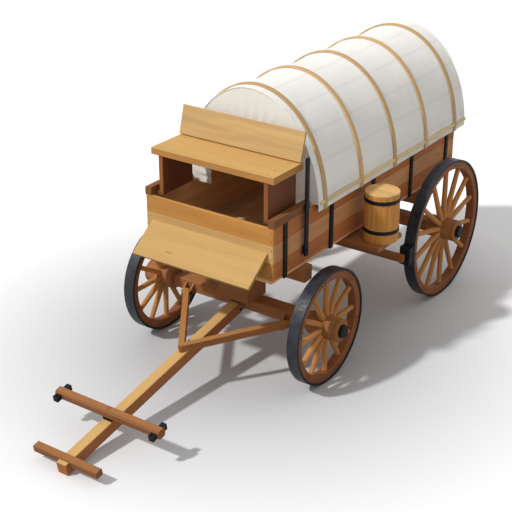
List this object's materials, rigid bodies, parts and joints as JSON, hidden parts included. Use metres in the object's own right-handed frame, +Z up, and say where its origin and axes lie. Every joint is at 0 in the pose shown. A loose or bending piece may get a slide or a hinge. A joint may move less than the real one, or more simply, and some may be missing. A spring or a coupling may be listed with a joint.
{
  "type": "covered wagon",
  "caption": "Horse-drawn covered wagon with a planked box, bowed canvas cover, driver's seat, spoked iron-tyred wheels, steering front gear, hinged tongue and tail board.",
  "frame": {"origin": "on the ground, midway along the overall length from tongue tip to the rear edge of the cover, midway between the left and right wheels", "axes": "+Z up, -Y towards the tongue (forwards), +X to the wagon's left side"},
  "size_m": [2.04, 4.8538, 2.2855],
  "materials": {
    "side_wood": "oiled",
    "front_wood": "oiled",
    "seat_wood": "satin",
    "gear_wood": "oiled",
    "wheel_wood": "oiled",
    "bow_wood": "satin",
    "barrel_wood": "oiled",
    "lid_wood": "satin",
    "wrought_iron": "blackened",
    "tyre_iron": "worn",
    "canvas": "matt",
    "curtain": "matt"
  },
  "bodies": {
    "wagon": {"left_side": "side_wood", "right_side": "side_wood", "front_board": "front_wood", "floor_boards": "side_wood", "seat_frame": "front_wood", "seat_board": "seat_wood", "seat_back": "seat_wood", "footboard": "seat_wood", "box_irons": "wrought_iron", "brake_lever": "wrought_iron", "brake_beam": "gear_wood", "brake_shoes": "wrought_iron", "bow_rails": "bow_wood", "bows": "bow_wood", "canvas_cover": "canvas", "front_curtain": "curtain", "rear_curtain": "curtain", "barrel": "barrel_wood", "barrel_hoops": "wrought_iron", "barrel_lid": "lid_wood", "barrel_shelf": "gear_wood", "front_bolster": "gear_wood", "turntable_top": "wrought_iron", "rear_frame": "gear_wood", "rear_axle": "gear_wood"},
    "front_gear": {"front_axle": "gear_wood", "gear_block": "gear_wood", "gear_irons": "wrought_iron"},
    "wheel_front_left": {"front_left_wheel": "wheel_wood", "front_left_tyre": "tyre_iron", "front_left_cap": "wrought_iron"},
    "wheel_front_right": {"front_right_wheel": "wheel_wood", "front_right_tyre": "tyre_iron", "front_right_cap": "wrought_iron"},
    "wheel_rear_left": {"rear_left_wheel": "wheel_wood", "rear_left_tyre": "tyre_iron", "rear_left_cap": "wrought_iron"},
    "wheel_rear_right": {"rear_right_wheel": "wheel_wood", "rear_right_tyre": "tyre_iron", "rear_right_cap": "wrought_iron"},
    "draught_tongue": {"tongue_pole": "seat_wood", "tongue_braces": "gear_wood", "yoke_bar": "gear_wood", "tongue_irons": "wrought_iron"},
    "crossbar": {"doubletree": "gear_wood", "doubletree_irons": "wrought_iron"},
    "tail_board": {"tailgate": "side_wood", "tailgate_irons": "wrought_iron"}
  },
  "joints": [
    {"name": "steer", "type": "hinge", "parent": "wagon", "child": "front_gear", "pos_m": [0, -0.21714, 0.72], "axis": [0, 0, 1], "range_deg": [-25, 25]},
    {"name": "spin_front_left", "type": "hinge", "parent": "front_gear", "child": "wheel_front_left", "pos_m": [0.818, -0.21714, 0.4845], "axis": [1, 0, 0], "continuous": true},
    {"name": "spin_front_right", "type": "hinge", "parent": "front_gear", "child": "wheel_front_right", "pos_m": [-0.818, -0.21714, 0.4845], "axis": [1, 0, 0], "continuous": true},
    {"name": "spin_rear_left", "type": "hinge", "parent": "wagon", "child": "wheel_rear_left", "pos_m": [0.837, 1.73886, 0.635], "axis": [1, 0, 0], "continuous": true},
    {"name": "spin_rear_right", "type": "hinge", "parent": "wagon", "child": "wheel_rear_right", "pos_m": [-0.837, 1.73886, 0.635], "axis": [1, 0, 0], "continuous": true},
    {"name": "tongue_lift", "type": "hinge", "parent": "front_gear", "child": "draught_tongue", "pos_m": [0, -0.32114, 0.447], "axis": [-1, 0, 0], "range_deg": [0, 26]},
    {"name": "crossbar_swing", "type": "hinge", "parent": "draught_tongue", "child": "crossbar", "pos_m": [0, -1.89887, 0.25427], "axis": [0, -0.1864, 0.9825], "range_deg": [-22, 22]},
    {"name": "tail_board_drop", "type": "hinge", "parent": "wagon", "child": "tail_board", "pos_m": [0, 2.32786, 0.978], "axis": [-1, 0, 0], "range_deg": [0, 170]}
  ]
}
